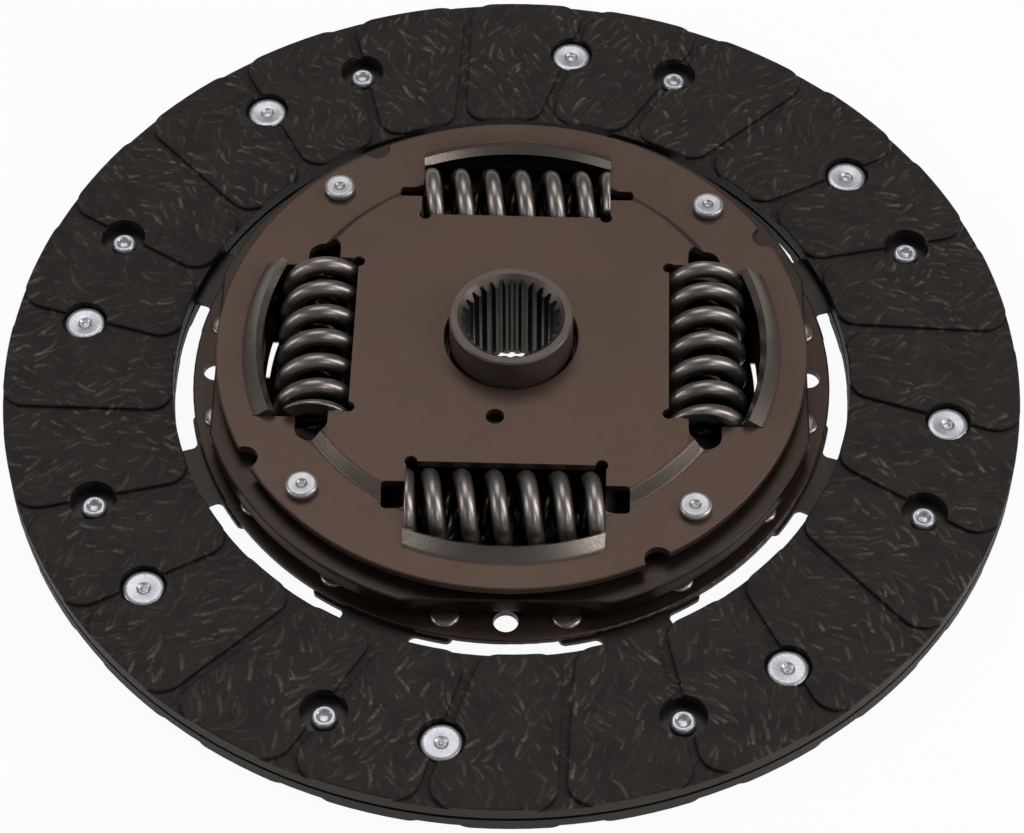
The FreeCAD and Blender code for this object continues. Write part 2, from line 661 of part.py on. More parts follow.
save("drive_plate", drive_plate())
save("cover_plate", cover_plate())
save("stop_pins", Part.makeCompound(stop_pins()))
save("hub", hub())
save("hub_flange", hub_flange())

outer_coil = coil(OUTER_COIL_R, OUTER_WIRE_R, OUTER_PITCH, False, OUTER_PHASE)
inner_coil = coil(INNER_COIL_R, INNER_WIRE_R, INNER_PITCH, True, INNER_PHASE)
for number in range(1, WINDOW_COUNT + 1):
    angle = WINDOW_STEP * (number - 1) + WINDOW_TURN
    save("outer_spring_" + str(number), spin(outer_coil, angle))
    save("inner_spring_" + str(number), spin(inner_coil, angle))

steel_low = FLANGE_TOP + TOP_RING_THICK
save("friction_bush", friction_bush())
save("friction_ring", ring(TOP_RING_R_IN, RING_R, FLANGE_TOP, steel_low))
save("pressure_ring", ring(TOP_RING_R_IN, RING_R, steel_low, steel_low + STEEL_RING_THICK))
save("spring_ring", spring_ring())
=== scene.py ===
# %% [markdown]
# # A clutch disc, dressed for its photograph
# The solids of the disc already exist, in metres, with the lower facing resting on z = 0.
# This notebook gives them their finishes, winds proper springs, turns proper rivets,
# and sets the camera and the lamps.

# %% Load the solids
import json
import math

import bpy
import numpy as np
from mathutils import Matrix, Vector


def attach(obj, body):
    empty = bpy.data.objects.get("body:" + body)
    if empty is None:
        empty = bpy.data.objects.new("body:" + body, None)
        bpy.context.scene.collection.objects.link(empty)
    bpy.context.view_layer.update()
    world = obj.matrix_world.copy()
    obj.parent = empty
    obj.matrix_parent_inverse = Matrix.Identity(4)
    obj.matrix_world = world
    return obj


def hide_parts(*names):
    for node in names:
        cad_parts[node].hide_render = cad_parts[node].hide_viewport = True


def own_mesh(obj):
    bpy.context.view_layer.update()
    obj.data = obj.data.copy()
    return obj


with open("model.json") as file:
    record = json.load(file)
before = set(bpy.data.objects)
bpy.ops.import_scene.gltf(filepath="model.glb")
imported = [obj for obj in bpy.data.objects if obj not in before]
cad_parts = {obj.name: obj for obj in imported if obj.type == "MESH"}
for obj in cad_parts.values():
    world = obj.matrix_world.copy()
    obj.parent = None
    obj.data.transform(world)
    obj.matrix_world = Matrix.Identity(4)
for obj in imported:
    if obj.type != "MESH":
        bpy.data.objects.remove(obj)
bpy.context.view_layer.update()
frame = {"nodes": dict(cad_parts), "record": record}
nodes = frame["nodes"]
scene = bpy.context.scene
MM = 0.001
print(len(nodes), "solids")

# %% [markdown]
# ## The camera
# The camera stands in front of the disc and looks down on it at about 53 degrees.
# A long lens keeps the far side nearly as large as the near side, as in a catalogue shot.
# Its place was worked out from the rivets' circle and the outline, so it is written as a
# target, a distance and three angles, which is easier to read than a matrix.

# %% Camera
LENS = 118.08
DISTANCE = 753.7 * MM
ELEVATION = math.radians(52.9)
TURN = math.radians(1.1)
ROLL = math.radians(-0.11)
TARGET = Matrix.Rotation(TURN, 3, "Z") @ Vector((0.14, -9.30, 2.9)) * MM

back = Matrix.Rotation(TURN, 3, "Z") @ Vector((0, -math.cos(ELEVATION), math.sin(ELEVATION)))
camera = bpy.data.objects.new("camera", bpy.data.cameras.new("camera"))
scene.collection.objects.link(camera)
camera.data.lens = LENS
camera.data.sensor_width = 36
camera.data.clip_start = 0.05
camera.data.dof.use_dof = False
facing_way = back.to_track_quat("Z", "Y").to_matrix() @ Matrix.Rotation(ROLL, 3, "Z")
camera.matrix_world = Matrix.Translation(TARGET + back * DISTANCE) @ facing_way.to_4x4()
scene.camera = camera
print("camera at", [round(v, 3) for v in camera.location])

# %% [markdown]
# ## Writing materials as sums
# A material is a small calculation at every point of the surface. Node graphs are hard to
# read in code, so a socket is wrapped in a class that knows plus, minus, times and divide:
# `1 - mask` then adds the Math node by itself. Every other node comes from one method,
# which takes the node's type, its settings and what its sockets get.

# %% Signals and paints
class Signal:
    """An output socket; arithmetic on it adds Math nodes to the same material."""

    def __init__(self, paint, socket):
        self.paint = paint
        self.socket = socket

    def math(self, operation, *others):
        values = dict(enumerate((self,) + others))
        return self.paint.add("Math", {"operation": operation}, values)

    def __add__(self, other):
        return self.math("ADD", other)

    def __sub__(self, other):
        return self.math("SUBTRACT", other)

    def __rsub__(self, other):
        return self.paint.add("Math", {"operation": "SUBTRACT"}, {0: other, 1: self})

    def __mul__(self, other):
        return self.math("MULTIPLY", other)

    def __truediv__(self, other):
        return self.math("DIVIDE", other)

    __radd__ = __add__
    __rmul__ = __mul__

    def size(self):
        return self.math("ABSOLUTE")

    def root(self):
        return self.math("SQRT")

    def sine(self):
        return self.math("SINE")

    def cosine(self):
        return self.math("COSINE")

    def larger(self, other):
        return self.math("MAXIMUM", other)

    def step(self, start, end, low=0.0, high=1.0):
        """Soft step: low before start, high after end."""
        return self.paint.add("MapRange", {"interpolation_type": "SMOOTHSTEP"},
                              {0: self, 1: start, 2: end, 3: low, 4: high})


class Paint:
    """One material, with a Principled shader whose constants are set at once."""

    def __init__(self, name, **constants):
        self.material = bpy.data.materials.new(name)
        self.material.use_nodes = True
        self.tree = self.material.node_tree
        self.shader = self.tree.nodes["Principled BSDF"]
        for socket, value in constants.items():
            self.shader.inputs[socket.replace("_", " ")].default_value = value

    def add(self, kind, settings=None, sockets=None, output=0):
        node = self.tree.nodes.new("ShaderNode" + kind)
        for key, value in (settings or {}).items():
            setattr(node, key, value)
        for key, value in (sockets or {}).items():
            if isinstance(value, Signal):
                self.tree.links.new(value.socket, node.inputs[key])
            else:
                node.inputs[key].default_value = value
        return Signal(self, node.outputs[output])

    def place(self):
        """Object coordinates in millimetres."""
        point = self.add("TexCoord", output="Object")
        return self.add("VectorMath", {"operation": "SCALE"}, {0: point, "Scale": 1000.0})

    def parts(self, vector):
        """x, y and z of a vector."""
        first = self.add("SeparateXYZ", sockets={0: vector})
        return [Signal(self, out) for out in first.socket.node.outputs]

    def noise(self, vector, grain, detail=3.0, rough=0.55):
        """Cloudy value of 0 to 1 whose lumps are grain millimetres wide."""
        return self.add("TexNoise", sockets={"Vector": vector, "Scale": 1.0 / grain, "Detail": detail,
                                             "Roughness": rough})

    def blend(self, share, one, two):
        """Colour one where share is 0 and two where it is 1."""
        return self.add("Mix", {"data_type": "RGBA"}, {0: share, 6: one, 7: two}, output=2)

    def lay(self, **signals):
        for socket, signal in signals.items():
            self.tree.links.new(signal.socket, self.shader.inputs[socket.replace("_", " ")])

    def relief(self, height, depth_mm, strength=1.0):
        bump = self.add("Bump", sockets={"Height": height, "Distance": depth_mm * MM, "Strength": strength})
        self.tree.links.new(bump.socket, self.shader.inputs["Normal"])


def tone(red, green, blue):
    """Colour as seen on screen, 0 to 255, turned to the linear values that Blender wants."""
    screen = np.array([red, green, blue]) / 255
    linear = np.where(screen <= 0.04045, screen / 12.92, ((screen + 0.055) / 1.055) ** 2.4)
    return (*linear.tolist(), 1.0)


print("middle grey on screen is", round(tone(128, 128, 128)[0], 3), "linear")

# %% [markdown]
# ## The friction lining
# The facing is pressed from resin, rubber and cut yarn. The yarn lies in loops that cross,
# so the worn face shows short pale strokes leaning left or right of the radius, several
# side by side. An image of it would need a photo. Here the plane is divided into random
# cells, and in each cell a short bent stroke is drawn: the distance along and across a
# slanted line through the cell's own point is worked out, and the stroke is where both are
# small. Which way it leans comes from a slower noise, so neighbours run side by side.
# Three sets of strokes in three sizes lie over each other, and a cloud of noise leaves some
# places nearly bare. The walls of the grooves and the bores over the rivets are darkened
# as painted shade.

# %% Lining
SLANT = 0.6
SLANT_SPREAD = 0.7
BEND = 0.18
SAME_WAY = 13.0
BODY_MIDDLE = 4.0
LINING_R = 113.85
WALL_AT = 3.5
BORE_FLOOR = 3.0


def strokes(paint, place, cell, half_length, half_width, shift):
    """0 to 1, highest on a bent stroke in each cell. The stroke leans by the slant from the
    radius; along = d . direction, across = d . normal + bend * along squared. It fades to
    both sides and towards one end, and each cell has its own strength."""
    moved = paint.add("VectorMath", {"operation": "ADD"}, {0: place, 1: (shift, -shift, 0)})
    cells = paint.add("TexVoronoi", {"voronoi_dimensions": "2D", "feature": "F1"},
                      {"Vector": moved, "Scale": 1.0 / cell}, output="Position")
    chance_a, chance_b, chance_c = paint.parts(Signal(paint, cells.socket.node.outputs["Color"]))
    centre = paint.add("VectorMath", {"operation": "SUBTRACT"}, {0: cells, 1: (shift, -shift, 0)})
    away = paint.add("VectorMath", {"operation": "SUBTRACT"}, {0: moved, 1: cells})
    away_x, away_y, _ = paint.parts(away)
    centre_x, centre_y, _ = paint.parts(centre)
    side = paint.noise(centre, SAME_WAY, 1.0).step(0.47, 0.53, -1.0, 1.0)
    turn = centre_y.math("ARCTAN2", centre_x) + side * SLANT + (chance_b - 0.5) * SLANT_SPREAD
    along = away_x * turn.cosine() + away_y * turn.sine()
    bend = (chance_c - 0.5) * BEND
    across = away_y * turn.cosine() - away_x * turn.sine() + bend * along * along
    reach = half_length * (0.4 + chance_c)
    inside = (along.size() / reach).step(0.5, 1.0, 1.0, 0.0)
    thin = (across.size() / half_width).step(0.0, 1.0, 1.0, 0.0)
    fade = (along / reach).step(-1.0, 1.0, 0.35, 1.0)
    return inside * thin * fade * chance_a.step(0.05, 0.95, 0.05, 1.0)


def lining_paint():
    """Resin ground with strokes, painted shade on the groove walls and rivet bores, and a sawn outer edge.
    """
    paint = Paint("friction lining", Specular_IOR_Level=0.22)
    place = paint.place()
    x, y, z = paint.parts(place)
    radius = (x * x + y * y).root()
    depth = (z - BODY_MIDDLE).size()
    cloud = paint.noise(place, 8.0, 4.0, 0.6)
    rust = paint.noise(place, 4.0, 3.0, 0.5)
    grain = paint.noise(place, 0.45, 2.0, 0.6)
    broken = paint.noise(place, 1.1, 2.0, 0.6)
    large = strokes(paint, place, cell=5.2, half_length=3.2, half_width=0.7, shift=0.0)
    small = strokes(paint, place, cell=3.7, half_length=2.0, half_width=0.5, shift=37.0)
    other = strokes(paint, place, cell=4.4, half_length=2.6, half_width=0.45, shift=91.0)
    patchy = paint.noise(place, 15.0, 2.0).step(0.38, 0.62, 0.3, 0.85)
    pale = large.larger(small * 0.75).larger(other * 0.5)
    pale = pale * broken.step(0.3, 0.7, 0.3, 1.0) * patchy
    ground = paint.blend(cloud.step(0.3, 0.7), tone(34, 29, 27), tone(45, 38, 35))
    ground = paint.blend(rust.step(0.55, 0.75, 0.0, 0.45), ground, tone(60, 40, 36))
    ground = paint.blend(grain.step(0.3, 0.8, 0.0, 0.25), ground, tone(24, 21, 20))
    face_colour = paint.blend(pale, ground, tone(134, 121, 113))
    # Painted shade: the groove walls and the bores over the rivets are darkened towards near black.
    ragged = depth + (broken - 0.5) * 0.5
    wall_shade = (ragged - WALL_AT).size().step(0.1, 0.4, 0.75, 0.0)
    bore_shade = ragged.step(BORE_FLOOR - 0.4, BORE_FLOOR, 0.8, 0.12)
    face_colour = paint.blend(wall_shade.larger(bore_shade), face_colour, tone(19, 17, 16))
    sawn = paint.blend(grain.step(0.3, 0.7), tone(48, 43, 39), tone(62, 56, 50))
    edge = radius.step(LINING_R, LINING_R + 0.1) * depth.step(3.6, 3.9, 1.0, 0.3)
    paint.lay(Base_Color=paint.blend(edge, face_colour, sawn),
              Roughness=grain.step(0.2, 0.8, 0.5, 0.72))
    paint.relief(grain * 0.5 + pale * 0.6 + cloud * 0.5, 0.12, 0.6)
    return paint.material

# %% [markdown]
# ## Metal finishes
# The plates are phosphated: a thin brown-black crystal coat that dulls the steel without
# hiding it. So the shader stays metallic, its colour drifts slowly over some centimetres,
# and a fine grain breaks up the gloss. The springs and the hub are bare or blued steel and
# take the same recipe with other colours. One function makes them all.
#
# The press has rubbed the upper plate bright on its four lips. The slope round its middle
# takes the same lighter tone, partly as wear and partly as a painted highlight. They lie at
# known radii and heights, so the place itself says where the second tone goes, and no mesh
# has to be cut. The hub's bore is greyer than its outside and is found in the same way.

# %% Metals
LIP_INNER = 56.2
LIP_OUTER = 60.2
RIM_TOP = 17.4
SLOPE_TOP = 20.1
SLOPE_FROM = 30.0
BORE_R = 13.5
HUB_FACE = 27.2


def wear_and_sheen_places(paint, place):
    """1 on the lips, between two radii and above the rim (wear), and on the slope between two heights (wear
    and a painted highlight).
    """
    x, y, z = paint.parts(place)
    radius = (x * x + y * y).root()
    lips = radius.step(LIP_INNER, LIP_INNER + 0.4) * radius.step(LIP_OUTER - 0.8, LIP_OUTER, 1.0, 0.0)
    lips = lips * z.step(RIM_TOP + 0.05, RIM_TOP + 0.4)
    # Wear and painted highlight: the slope takes the lighter tone partly as rubbed metal and partly as a
    # painted highlight.
    slope = z.step(RIM_TOP, RIM_TOP + 0.4) * z.step(SLOPE_TOP - 0.4, SLOPE_TOP, 1.0, 0.0)
    slope = slope * radius.step(SLOPE_FROM, SLOPE_FROM + 1.0)
    return lips.larger(slope)


def hub_bore(paint, place):
    """1 inside the hub's bore, below the face."""
    x, y, z = paint.parts(place)
    inside = (x * x + y * y).root().step(BORE_R - 0.6, BORE_R, 1.0, 0.0)
    return inside * z.step(HUB_FACE - 1.4, HUB_FACE, 1.0, 0.0)


def metal_paint(name, dark, light, rough, metallic=0.85, drift=18.0, grain_mm=0.35, depth=0.02,
                scuffs=0.0, place_two=None, tone_two=None, gloss_two=0.0, metallic_two=0.95):
    """Metal whose colour drifts between two tones, with fine grain and a few pale scuffs.
    place_two gives 0 to 1 where a second tone, gloss and metallic take over."""
    paint = Paint(name, Metallic=metallic, Roughness=rough, Specular_IOR_Level=0.35)
    place = paint.place()
    slow = paint.noise(place, drift, 4.0, 0.55)
    grain = paint.noise(place, grain_mm, 2.0, 0.6)
    colour = paint.blend(slow.step(0.3, 0.7), dark, light)
    if scuffs:
        wear = paint.noise(place, 1.6, 5.0, 0.7).step(0.62, 0.75, 0.0, scuffs)
        colour = paint.blend(wear, colour, tone(135, 120, 110))
    gloss = (grain * 0.6 + slow * 0.4).step(0.2, 0.8, rough - 0.07, rough + 0.09)
    if place_two:
        second = place_two(paint, place)
        colour = paint.blend(second, colour, tone_two)
        gloss = gloss - second * gloss_two
        paint.lay(Metallic=second * (metallic_two - metallic) + metallic)
    paint.lay(Base_Color=colour, Roughness=gloss)
    paint.relief(grain, depth, 0.5)
    return paint.material


FINISHES = {
    "friction_lining": lining_paint(),
    # Painted shade: the lower plate takes a darker copy of the upper plate's brown phosphate, standing for
    # the shadow under the upper plate.
    "phosphated_steel": metal_paint("shade-darkened brown phosphate", tone(56, 45, 40), tone(65, 53, 47), 0.4, 0.75,
                                    scuffs=0.1),
    "rubbed_sheen_steel": metal_paint("rubbed phosphate with painted sheen", tone(80, 63, 54), tone(88, 70, 61), 0.42, 0.6,
                                scuffs=0.08, place_two=wear_and_sheen_places, tone_two=tone(126, 118, 111),
                                gloss_two=0.12),
    "hub_steel": metal_paint("dark hub steel", tone(84, 73, 67), tone(98, 86, 79), 0.4, 0.5, 9.0,
                             place_two=hub_bore, tone_two=tone(66, 63, 59), metallic_two=0.85),
    "spring_steel": metal_paint("spring steel", tone(134, 127, 122), tone(152, 144, 139), 0.34, 0.95,
                                7.0, 0.3, 0.006),
    # Painted shade: the inner springs are a darker copy of the spring steel, for the shade inside the outer
    # springs.
    "inner_spring": metal_paint("shade-darkened spring steel", tone(44, 41, 38), tone(54, 50, 47), 0.3, 0.95,
                                7.0, 0.3, 0.004),
    "zinc_rivet": metal_paint("zinc", tone(178, 179, 184), tone(202, 203, 209), 0.34, 0.75,
                              2.0, 0.4, 0.03),
    "pin_zinc": metal_paint("dull zinc", tone(164, 163, 166), tone(188, 187, 190), 0.34, 0.75,
                            2.0, 0.4, 0.03),
    "dark_rivet": metal_paint("browned rivet", tone(126, 117, 111), tone(150, 141, 134), 0.3, 0.9, 2.0),
    "sheet_steel": metal_paint("blued sheet", tone(44, 40, 38), tone(56, 51, 48), 0.4, 0.6, 12.0),
    # Painted shade: the flange's darker brown is a copy of the plates' phosphate, standing for the shadow
    # under the upper plate.
    "shaded_flange_steel": metal_paint("shade-darkened brown flange", tone(52, 43, 38), tone(61, 51, 45), 0.38, 0.8, 9.0),
    "ring_plastic": metal_paint("black ring plastic", tone(30, 28, 26), tone(38, 35, 33), 0.55, 0.0, 6.0),
}
OWN_FINISH = {"hub_flange": "shaded_flange_steel", "cover_plate": "rubbed_sheen_steel"}
slot_of = {part["node"]: part["material_slot"] for part in frame["record"]["subparts"]}


def dress(thing, finish):
    thing.data.materials.clear()
    thing.data.materials.append(FINISHES[finish])


print("mixed", len(FINISHES), "finishes")

# %% [markdown]
# ## Dressing the solids
# The solids come in as loose triangles. Welding the corners and smoothing all edges
# flatter than a limit makes turned faces look turned, while real edges stay sharp. A
# stamped sheet has no knife edge either: on the two plates a narrow bevel, in millimetres,
# rounds the rims so that they catch a thin line of light. All of these are modifiers, so
# the solids themselves stay as they are.

# %% Dress the solids
SMOOTH_LIMIT = math.radians(28)
ROUNDED = {"cover_plate": 0.22, "drive_plate": 0.18}

for name, solid in nodes.items():
    dress(solid, OWN_FINISH.get(name, slot_of[name]))
    solid.modifiers.new("weld", "WELD").merge_threshold = 0.002 * MM
    solid.data.polygons.foreach_set("use_smooth", np.ones(len(solid.data.polygons), bool))
    split = solid.modifiers.new("edges", "EDGE_SPLIT")
    split.split_angle = SMOOTH_LIMIT
    if name in ROUNDED:
        worn_edge = solid.modifiers.new("worn edge", "BEVEL")
        worn_edge.width = ROUNDED[name] * MM
        worn_edge.segments = 2
        worn_edge.limit_method = "ANGLE"
        worn_edge.angle_limit = SMOOTH_LIMIT * 1.5
        solid.modifiers.move(solid.modifiers.find("worn edge"), 1)
    solid.modifiers.new("even", "WEIGHTED_NORMAL").keep_sharp = True
print("dressed", len(nodes), "solids")

# %% [markdown]
# ## Meshes from grids
# A swept or turned shape is a grid of points: one direction runs along the path, the other
# round the section. Whole arrays are worked out at once, the quads follow from the grid's
# numbering, and each open end is closed by one point in its middle.

# %% Grid to mesh
def tube_faces(rows, columns, start=0):
    """Faces of a grid that closes round its columns, with an end point before and after it.
    Row i, column j is vertex start + 1 + i * columns + j; the two end points come first and last."""
    i, j = np.meshgrid(np.arange(rows - 1), np.arange(columns), indexing="ij")
    one = start + 1 + i * columns + j
    two = start + 1 + i * columns + (j + 1) % columns
    quads = np.stack([one, two, two + columns, one + columns], -1).reshape(-1, 4)
    ring = np.arange(columns)
    turn = (ring + 1) % columns
    first = np.stack([np.full(columns, start), start + 1 + turn, start + 1 + ring], -1)
    base = start + 1 + (rows - 1) * columns
    last = np.stack([np.full(columns, base + columns), base + ring, base + turn], -1)
    return quads.tolist() + first.tolist() + last.tolist()


def make_piece(name, points, faces, finish, body, replaced):
    """Object at the origin from points in millimetres, with its finish, body and old node."""
    mesh = bpy.data.meshes.new(name)
    mesh.from_pydata((points * MM).tolist(), [], faces)
    mesh.polygons.foreach_set("use_smooth", np.ones(len(mesh.polygons), bool))
    mesh.update()
    piece = bpy.data.objects.new(name, mesh)
    scene.collection.objects.link(piece)
    dress(piece, finish)
    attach(piece, body)
    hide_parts(*replaced)
    return piece


print("a tube of 3 rows and 4 columns has", len(tube_faces(3, 4)), "faces")

# %% [markdown]
# ## The springs
# Each window holds a thick spring with a thin one inside it, wound the other way so that
# they can't catch. A spring's wire follows a helix. At each end the last half turn closes
# up a little, and the wire is ground flat, so whatever passes the end plane is pressed
# onto it. The first and last turn are given as numbers, because they decide where the
# wire's tops stand in the window and where its thin ground end shows. The springs go in
# as they come: the first is turned a little further about its own axis, and the third
# sits end for end.

# %% Wind springs
SPRING_AT = 43.0
SPRING_Z = 12.85
SPRING_LENGTH = 43.0
WINDOW_TURN = -0.7
CLOSED_TURNS = 0.75
CLOSED_BY = 1.6
TURNED = {1: 0.27, 2: 0.0, 3: 0.0, 4: 0.0}
END_FOR_END = 3
THICK = {"coil_r": 7.5, "wire_r": 1.95, "pitch": 6.95, "first": -4.12, "last": 2.55, "top_y": 5.3,
         "hand": -1}
THIN = {"coil_r": 3.9, "wire_r": 1.05, "pitch": 4.3, "first": -5.1, "last": 5.0, "top_y": 0.6,
        "hand": 1}


def coil_points(turned, coil_r, wire_r, pitch, first, last, top_y, hand, steps=44, round_steps=20):
    """Helix: middle = (R cos a, y, R sin a) with a = 90 degrees + hand * 2 pi t and y = top_y
    + pitch * t; the section circle adds w (outward cos b + sideways sin b). Within the last
    CLOSED_TURNS of an end y is drawn in by CLOSED_BY times the square of the share gone. A
    spring turned about its own axis has its tops further on and its ends where they were."""
    first, last, top_y = first - turned, last - turned, top_y + pitch * turned
    t = np.linspace(first, last, int((last - first) * steps))[:, None]
    a = np.pi / 2 + hand * 2 * np.pi * t
    near_first = np.clip(1 - (t - first) / CLOSED_TURNS, 0, 1) ** 2
    near_last = np.clip(1 - (last - t) / CLOSED_TURNS, 0, 1) ** 2
    y = top_y + pitch * t + CLOSED_BY * (near_first - near_last)
    middle = np.concatenate([coil_r * np.cos(a), y, coil_r * np.sin(a)], 1)
    way = np.gradient(middle, axis=0)
    way /= np.linalg.norm(way, axis=1, keepdims=True)
    out = np.concatenate([np.cos(a), np.zeros_like(a), np.sin(a)], 1)
    out -= way * (out * way).sum(1, keepdims=True)
    out /= np.linalg.norm(out, axis=1, keepdims=True)
    across = np.cross(way, out)
    b = np.linspace(0, 2 * np.pi, round_steps, endpoint=False)
    section = out[:, None] * np.cos(b)[:, None] + across[:, None] * np.sin(b)[:, None]
    grid = middle[:, None] + wire_r * section
    points = np.concatenate([middle[:1], grid.reshape(-1, 3), middle[-1:]])
    points[:, 1] = np.clip(points[:, 1], -SPRING_LENGTH / 2, SPRING_LENGTH / 2)
    return points, tube_faces(len(t), round_steps)


def turned_to(points, angle):
    """Points turned about the disc's axis."""
    c, s = math.cos(angle), math.sin(angle)
    return points @ np.array([[c, s, 0], [-s, c, 0], [0, 0, 1]])


def wind(kind, number, finish, shape):
    """One spring, wound along y, moved out to its window and turned to its quarter."""
    points, faces = coil_points(TURNED[number], **shape)
    if number == END_FOR_END:
        points = points * (-1, -1, 1)
    points += (SPRING_AT, 0, SPRING_Z)
    angle = math.radians(90 * (number - 1) + WINDOW_TURN)
    points = turned_to(points, angle)
    node = f"{kind}_spring_{number}"
    piece = make_piece(f"wound_{kind}_{number}", points, faces, finish, "springs", [node])
    anchor = turned_to(np.array([SPRING_AT, 0, SPRING_Z]), angle) * MM
    axis = turned_to(np.array([0.0, 1.0, 0.0]), angle)
    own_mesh(piece)


for number in range(1, 5):
    wind("outer", number, "spring_steel", THICK)
    wind("inner", number, "inner_spring", THIN)
print("wound 8 springs")

# %% [markdown]
# ## Rivets and pins
# A rivet is a turned part: its outline, from the middle of the head to the middle of the
# foot, is spun round its own axis. Upset metal has no sharp edge, so each corner of the
# outline is replaced by a short curve before it is spun. The riveting punch leaves a dimple
# in the middle of the heads, so the outline starts a little below its highest ring.

# %% Turn rivets
def softened(corners, reach, steps=5):
    """Outline with each inner corner P replaced by a curve from A to B, points on its two
    sides at most reach away: (1-u)^2 A + 2u(1-u) P + u^2 B."""
    p = np.array(corners, float)
    before, after = p[:-2] - p[1:-1], p[2:] - p[1:-1]
    far_b = np.linalg.norm(before, axis=1, keepdims=True)
    far_a = np.linalg.norm(after, axis=1, keepdims=True)
    a = p[1:-1] + before * np.minimum(reach / far_b, 0.45)
    b = p[1:-1] + after * np.minimum(reach / far_a, 0.45)
    u = np.linspace(0, 1, steps)[None, :, None]
    curve = (1 - u) ** 2 * a[:, None] + 2 * u * (1 - u) * p[1:-1, None] + u ** 2 * b[:, None]
    return np.concatenate([p[:1], curve.reshape(-1, 2), p[-1:]])


def spun(outline, around=40):
    """Turned body: (r cos b, r sin b, z) for every outline point, the first and last on the axis."""
    r, z = outline[1:-1, 0], outline[1:-1, 1]
    b = np.linspace(0, 2 * np.pi, around, endpoint=False)
    heights = np.repeat(z[:, None], around, 1)
    grid = np.stack([r[:, None] * np.cos(b), r[:, None] * np.sin(b), heights], -1)
    points = np.concatenate([[[0, 0, outline[0, 1]]], grid.reshape(-1, 3), [[0, 0, outline[-1, 1]]]])
    return points, tube_faces(len(r), around)


def group(name, outline, radius, angles, finish, node, flip_about=None):
    """One mesh with the same turned part at every angle; flip_about turns it over first."""
    one, faces = spun(outline)
    if flip_about is not None:
        one = one * (1, -1, -1) + (0, 0, 2 * flip_about)
    one = one + (radius, 0, 0)
    points, every = [], []
    for number, angle in enumerate(angles):
        points.append(turned_to(one, math.radians(angle)))
        every += [[corner + number * len(one) for corner in face] for face in faces]
    return make_piece(name, np.concatenate(points), every, finish, "disc", [node])


EIGHTHS = 45.0 * np.arange(8)
QUARTERS = 90.0 * np.arange(4)
SIXTEENTHS = 22.5 * np.arange(16)
RIVET_CIRCLE = 98.2
PIN_CIRCLE = 60.0
FOOT_CIRCLE = 66.68
HEAD = softened([(0, 6.62), (0.5, 6.5), (1.0, 6.35), (1.45, 6.78), (3.6, 6.95), (4.45, 6.72),
                 (4.5, 5.9), (1.8, 5.9), (1.8, 3.5), (2.8, 3.48), (2.85, 2.6), (2.35, 2.0),
                 (1.6, 2.0), (1.15, 2.6), (1.0, 3.2), (0, 3.25)], 0.28)
PIN = softened([(0, 19.0), (0.4, 18.9), (0.7, 18.82), (1.15, 19.2), (2.9, 19.3), (3.5, 19.0),
                (3.55, 18.1), (3.1, 17.3), (2.2, 17.3), (2.2, 15.3), (2.9, 15.3), (2.9, 6.3),
                (2.2, 6.3), (2.2, 4.5), (3.5, 4.5), (3.5, 3.5), (2.9, 3.0), (0, 3.0)], 0.3)
FOOT = softened([(0, 7.2), (1.9, 7.14), (2.8, 6.95), (3.15, 6.6), (3.2, 6.3), (2.2, 6.3),
                 (2.2, 3.5), (3.0, 3.5), (3.0, 2.8), (2.6, 2.4), (0, 2.4)], 0.3)

group("upper_rivets", HEAD, RIVET_CIRCLE, 37.5 + EIGHTHS, "zinc_rivet", "upper_facing_rivets")
group("lower_rivets", HEAD, RIVET_CIRCLE, 22.5 + EIGHTHS, "zinc_rivet", "lower_facing_rivets",
      flip_about=BODY_MIDDLE)
group("pins", PIN, PIN_CIRCLE, 42.2 + QUARTERS, "pin_zinc", "stop_pins")
group("foot_rivets", FOOT, FOOT_CIRCLE, 11.25 + SIXTEENTHS, "dark_rivet", "segment_rivets")
print("turned 36 rivets and pins")

# %% [markdown]
# ## Floor and light
# The disc lies on white paper. The background must be white for the camera and for the
# metal's reflections, without more light falling on the disc. So the floor is an ordinary
# pale surface for all other rays, and mostly plain white for camera and mirror rays; the
# rest of the mix keeps a soft shadow under the rim. Beneath the plates hardly any light
# reaches the paper, so a ring of it, as wide as the plates' windows, has no white added
# and its colour is painted near black as shade, but for a sliver beside each side window,
# which stays pale as a painted patch of light falling through. From below the paper is
# clear, so that the disc's underside can be looked at too.

# %% Floor and world
FLOOR_HALF = 3.0
OPEN_INSIDE = 17.0
OPEN_OUTSIDE = 60.0
SLIVER_R = 55.05
SLIVER_Y = 6.0
SLIVER_HALF = 5.0
WORLD_LIGHT = 0.15

floor_mesh = bpy.data.meshes.new("floor")
corners = ((-1, -1), (1, -1), (1, 1), (-1, 1))
floor_mesh.from_pydata([(x * FLOOR_HALF, y * FLOOR_HALF, 0) for x, y in corners], [], [(0, 1, 2, 3)])
floor = bpy.data.objects.new("floor", floor_mesh)
floor.location.z = -0.05 * MM
scene.collection.objects.link(floor)

paper = Paint("paper", Roughness=1.0, Specular_IOR_Level=0.0)
rays = paper.add("LightPath", output="Is Camera Ray")
mirror = Signal(paper, rays.socket.node.outputs["Is Glossy Ray"])
glass = Signal(paper, rays.socket.node.outputs["Is Transmission Ray"])
white = paper.add("Emission", sockets={"Color": (1, 1, 1, 1), "Strength": 1.0})
paper_x, paper_y, _ = paper.parts(paper.place())
from_middle = (paper_x * paper_x + paper_y * paper_y).root()
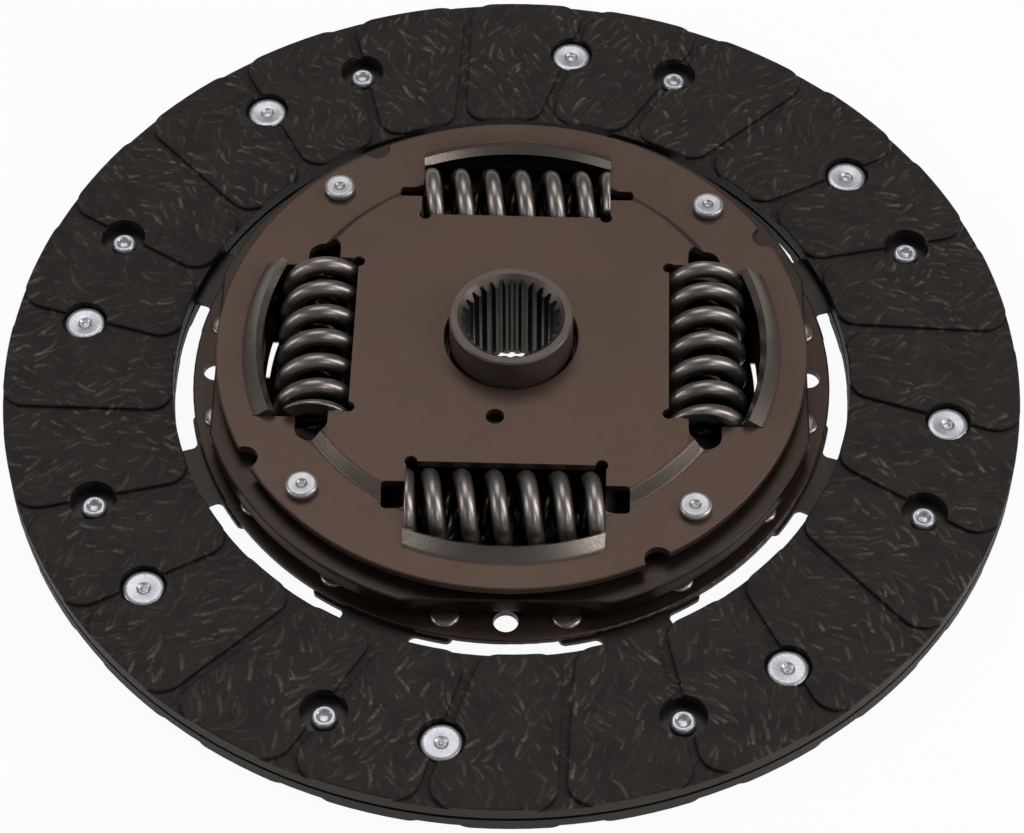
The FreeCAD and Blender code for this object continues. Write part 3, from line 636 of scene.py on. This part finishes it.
# Painted light: a sliver of pale paper beside each side window, where light falls through.
beside = (paper_y + paper_x * 0.04 - SLIVER_Y).size()
beside = beside.step(SLIVER_HALF - 0.4, SLIVER_HALF + 0.4, 1.0, 0.0)
sliver = from_middle.step(SLIVER_R, SLIVER_R + 0.15) * beside
inner_disc = from_middle.step(OPEN_INSIDE, OPEN_INSIDE + 2.0, 1.0, 0.0)
open_paper = from_middle.step(OPEN_OUTSIDE - 1.5, OPEN_OUTSIDE).larger(inner_disc).larger(sliver)
# Painted shade: inside the ring the paper's own colour is near black.
paper.lay(Base_Color=paper.blend(open_paper, (0.01, 0.01, 0.01, 1), (0.85, 0.85, 0.85, 1)))
seen = (rays + mirror + glass).math("MINIMUM", 1.0) * open_paper * 0.94
mixed = paper.add("MixShader", sockets={0: seen, 1: Signal(paper, paper.shader.outputs[0]), 2: white})
under = paper.add("NewGeometry", output="Backfacing")
whole = paper.add("MixShader", sockets={0: under, 1: mixed, 2: paper.add("BsdfTransparent")})
paper.tree.links.new(whole.socket, paper.tree.nodes["Material Output"].inputs["Surface"])
floor.data.materials.append(paper.material)

world = bpy.data.worlds.new("studio")
scene.world = world
world.use_nodes = True
tree = world.node_tree
sky = tree.nodes["Background"]
path = tree.nodes.new("ShaderNodeLightPath")
pick = tree.nodes.new("ShaderNodeMix")
pick.data_type = "FLOAT"
pick.inputs[2].default_value = WORLD_LIGHT
pick.inputs[3].default_value = 1.0
tree.links.new(path.outputs["Is Camera Ray"], pick.inputs[0])
tree.links.new(pick.outputs[0], sky.inputs["Strength"])
sky.inputs["Color"].default_value = (1, 1, 1, 1)
print("paper", 2 * FLOOR_HALF, "m wide")

# %% [markdown]
# ## Lamps
# One broad lamp hangs over the back of the disc, as in the photograph, where the hub and
# the plates throw their soft shadows towards the viewer. A tall panel of light on each side,
# the right one brighter, draws the two streaks on every spring and the bright slope at the
# lower right, with a small lamp above the right one. Two small ones in front catch the ends
# of the near lip. The viewer's side stays dark, or the plates' near sides would not be black.

# %% Lamps
def lamp(name, azimuth, height, away, wide, high, power):
    """Rectangular lamp seen from the disc at these angles in degrees, aimed at its middle."""
    light = bpy.data.lights.new(name, "AREA")
    light.shape = "RECTANGLE"
    light.size = wide
    light.size_y = high
    light.energy = power
    holder = bpy.data.objects.new(name, light)
    scene.collection.objects.link(holder)
    turn, lift = math.radians(azimuth), math.radians(height)
    toward = Vector((math.cos(turn) * math.cos(lift), math.sin(turn) * math.cos(lift), math.sin(lift)))
    aimed = toward.to_track_quat("Z", "Y").to_matrix().to_4x4()
    holder.matrix_world = Matrix.Translation(toward * away) @ aimed


lamp("back top", 99, 62, 1.3, 0.8, 0.7, 4.0)
lamp("right panel", -4, 34, 1.2, 0.35, 0.75, 5.2)
lamp("high right", 0, 57, 1.2, 0.25, 0.25, 1.0)
lamp("left panel", 186, 30, 1.2, 0.35, 0.6, 2.5)
lamp("front right", -52, 40, 1.2, 0.22, 0.22, 1.2)
lamp("front left", -132, 40, 1.2, 0.22, 0.22, 0.45)
scene.view_settings.view_transform = "Standard"
print("hung", len(bpy.data.lights), "lamps")
